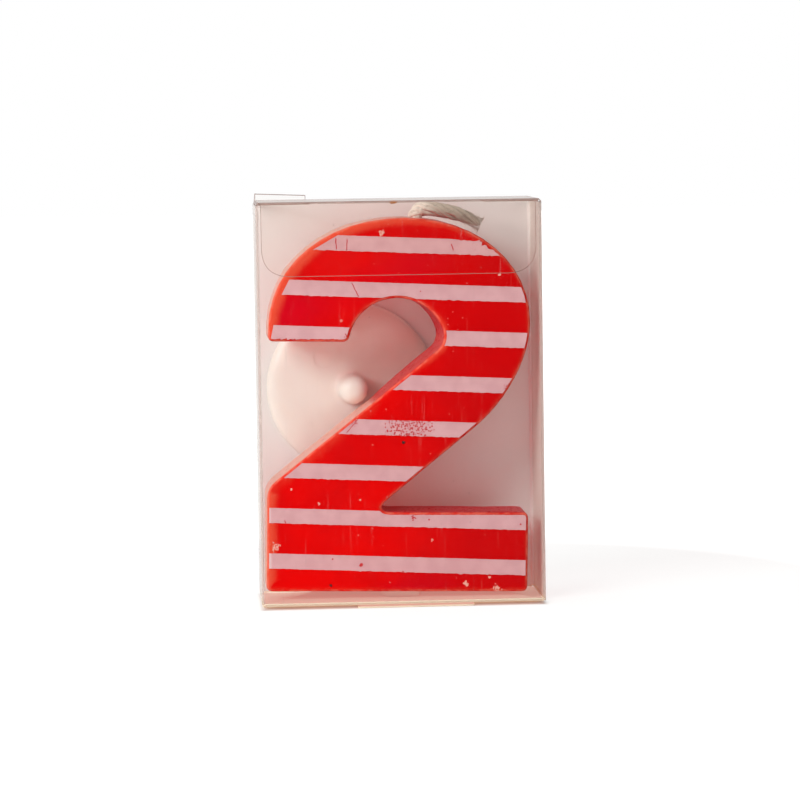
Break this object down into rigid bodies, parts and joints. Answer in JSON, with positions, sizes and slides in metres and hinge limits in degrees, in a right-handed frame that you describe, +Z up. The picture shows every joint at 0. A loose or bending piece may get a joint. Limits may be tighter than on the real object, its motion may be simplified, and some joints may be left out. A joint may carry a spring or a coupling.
{
  "type": "number candle in a clear folding carton",
  "caption": "Striped wax candle shaped like the digit two, with a plastic holder behind it, in a clear folding carton with a tuck lid and a snap-lock bottom.",
  "frame": {"origin": "centre of the bounding box's underside, on the surface that the carton stands on", "axes": "+Z up, -Y towards the viewer of the printed face of the digit, +X to that viewer's right"},
  "size_m": [0.0576, 0.0256, 0.0846],
  "materials": {
    "clear_sheet": "clear PVC sheet, glossy",
    "red_wax": "cast wax, satin",
    "stripe_print": "printed stripe, matte",
    "wick_cotton": "waxed cotton",
    "holder_plastic": "moulded, satin"
  },
  "bodies": {
    "carton": {"front_panel": "clear_sheet", "rear_panel": "clear_sheet", "left_panel": "clear_sheet", "right_panel": "clear_sheet", "glue_flap": "clear_sheet"},
    "lid": {"lid": "clear_sheet"},
    "tuck": {"tuck_flap": "clear_sheet"},
    "left_dust": {"left_dust_flap": "clear_sheet"},
    "right_dust": {"right_dust_flap": "clear_sheet"},
    "bottom_front": {"bottom_front_flap": "clear_sheet"},
    "bottom_left": {"bottom_left_flap": "clear_sheet"},
    "bottom_right": {"bottom_right_flap": "clear_sheet"},
    "bottom_rear": {"bottom_rear_flap": "clear_sheet"},
    "candle": {"wax_digit": "red_wax", "stripe_1": "stripe_print", "stripe_2": "stripe_print", "stripe_3_hook": "stripe_print", "stripe_3_bowl": "stripe_print", "stripe_4": "stripe_print", "stripe_5": "stripe_print", "stripe_6": "stripe_print", "stripe_7": "stripe_print", "stripe_8": "stripe_print", "wick": "wick_cotton"},
    "holder": {"candle_holder": "holder_plastic"}
  },
  "joints": [
    {"name": "lid_hinge", "type": "hinge", "parent": "carton", "child": "lid", "pos_m": [0, 0.01165, 0.0832], "axis": [-1, 0, 0], "range_deg": [0, 115]},
    {"name": "tuck_fold", "type": "hinge", "parent": "lid", "child": "tuck", "pos_m": [0, -0.01155, 0.08285], "axis": [1, 0, 0], "range_deg": [0, 81]},
    {"name": "left_dust_hinge", "type": "hinge", "parent": "carton", "child": "left_dust", "pos_m": [-0.02881, 0, 0.08285], "axis": [0, -1, 0], "range_deg": [0, 35]},
    {"name": "right_dust_hinge", "type": "hinge", "parent": "carton", "child": "right_dust", "pos_m": [0.02881, 0, 0.08285], "axis": [0, 1, 0], "range_deg": [0, 35]},
    {"name": "bottom_rear_hinge", "type": "hinge", "parent": "carton", "child": "bottom_rear", "pos_m": [0, 0.01165, 0], "axis": [1, 0, 0], "range_deg": [0, 100]},
    {"name": "bottom_left_hinge", "type": "hinge", "parent": "carton", "child": "bottom_left", "pos_m": [-0.02881, 0, 0.00035], "axis": [0, 1, 0], "range_deg": [0, 81]},
    {"name": "bottom_right_hinge", "type": "hinge", "parent": "carton", "child": "bottom_right", "pos_m": [0.02881, 0, 0.00035], "axis": [0, -1, 0], "range_deg": [0, 81]},
    {"name": "bottom_front_hinge", "type": "hinge", "parent": "carton", "child": "bottom_front", "pos_m": [0, -0.01285, 0.0007], "axis": [-1, 0, 0], "range_deg": [0, 46]},
    {"name": "candle_shift", "type": "slide", "parent": "carton", "child": "candle", "axis": [1, 0, 0], "range_m": [0, 0.0012]},
    {"name": "holder_slide", "type": "slide", "parent": "carton", "child": "holder", "axis": [0, -1, 0], "range_m": [0, 0.0045]}
  ],
  "couplings": [
    {"joint": "tuck_fold", "follows": "lid_hinge", "ratio": 0.7},
    {"joint": "left_dust_hinge", "follows": "lid_hinge", "ratio": 0.3},
    {"joint": "right_dust_hinge", "follows": "lid_hinge", "ratio": 0.3},
    {"joint": "bottom_left_hinge", "follows": "bottom_rear_hinge", "ratio": 0.8},
    {"joint": "bottom_right_hinge", "follows": "bottom_rear_hinge", "ratio": 0.8},
    {"joint": "bottom_front_hinge", "follows": "bottom_rear_hinge", "ratio": 0.45}
  ]
}
